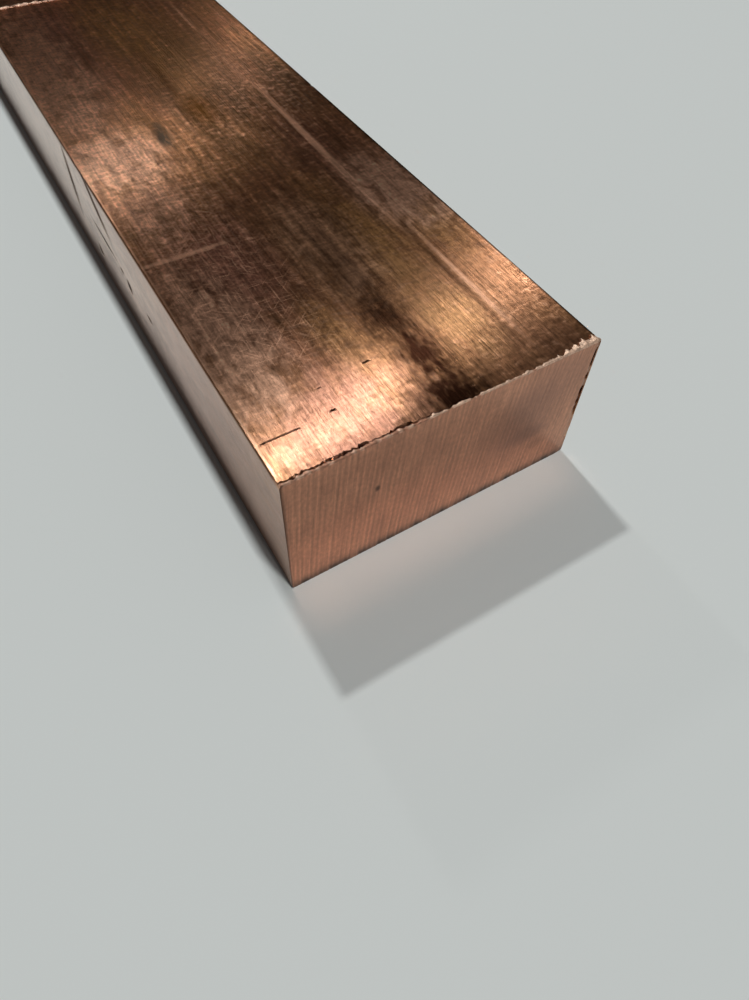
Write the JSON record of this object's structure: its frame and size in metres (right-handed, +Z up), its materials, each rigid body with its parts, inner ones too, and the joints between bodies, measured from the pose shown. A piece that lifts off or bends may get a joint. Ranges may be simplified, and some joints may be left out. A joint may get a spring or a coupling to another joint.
{
  "type": "copper flat bar",
  "caption": "Solid copper flat bar: a sawn length of drawn rectangular stock with slightly rounded long edges and a saw burr on one end, for machining or forging.",
  "frame": {"origin": "centre of the bar's lower wide face, on the floor", "axes": "+X along the length towards the sawn end with the burr, +Y across the width, +Z up through the thickness"},
  "size_m": [0.3048, 0.0508, 0.0258],
  "materials": {
    "copper": "drawn copper, tarnished brown on the long faces and bare where it was sawn"
  },
  "bodies": {
    "root": {"flat_bar": "copper"}
  },
  "joints": []
}
